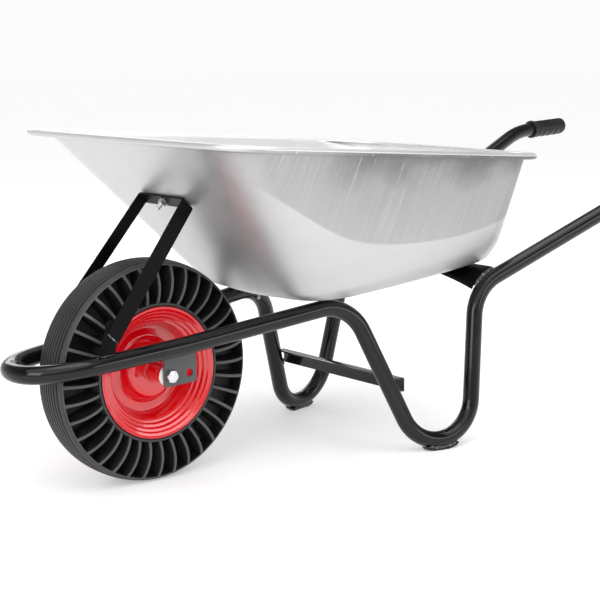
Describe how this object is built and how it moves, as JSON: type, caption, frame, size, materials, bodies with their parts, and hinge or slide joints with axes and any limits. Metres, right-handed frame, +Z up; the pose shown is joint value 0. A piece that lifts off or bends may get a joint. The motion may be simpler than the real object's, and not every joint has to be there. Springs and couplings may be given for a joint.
{
  "type": "wheelbarrow",
  "caption": "Single-wheel garden wheelbarrow: galvanised steel tray on a bent black tube frame, solid ribbed tyre on a red rim, rubber grips.",
  "frame": {"origin": "on the ground, under the middle of the wheelbarrow", "axes": "+X from the wheel towards the handles, +Z up, +Y towards the side of the axle nut, the user's right hand"},
  "size_m": [1.6348, 0.6514, 0.5783],
  "materials": {
    "black_paint": "gloss",
    "galvanised": "satin",
    "red_paint": "gloss",
    "tyre_rubber": "matte",
    "grip_rubber": "matte",
    "zinc": "bright",
    "nylon": "matte"
  },
  "bodies": {
    "frame": {"frame_tube": "black_paint", "axle_bracket_left": "black_paint", "axle_bracket_right": "black_paint", "strut_lug_left": "black_paint", "strut_lug_right": "black_paint", "tray_tab_left": "black_paint", "tray_tab_right": "black_paint", "foot_shoe_left": "black_paint", "foot_shoe_right": "black_paint", "grip_left": "grip_rubber", "grip_right": "grip_rubber", "front_strut": "black_paint", "cross_brace": "black_paint", "rear_plate": "black_paint", "tray": "galvanised", "front_tray_bolt_left": "zinc", "front_tray_bolt_right": "zinc", "front_tray_nut_left": "zinc", "front_tray_nut_right": "zinc", "rear_tray_bolt_left": "zinc", "rear_tray_bolt_right": "zinc", "rear_tray_nut_left": "zinc", "rear_tray_nut_right": "zinc", "strut_bolt": "zinc", "strut_nut": "zinc", "axle_bolt": "zinc", "axle_washer": "zinc", "axle_nut": "zinc"},
    "wheel": {"tyre": "tyre_rubber", "hub_tube": "red_paint", "rim_disc_left": "red_paint", "rim_disc_right": "red_paint", "hub_bush_left": "nylon", "hub_bush_right": "nylon"}
  },
  "joints": [
    {"name": "wheel_spin", "type": "hinge", "parent": "frame", "child": "wheel", "pos_m": [-0.5586, 0, 0.187], "axis": [0, 1, 0], "continuous": true}
  ]
}
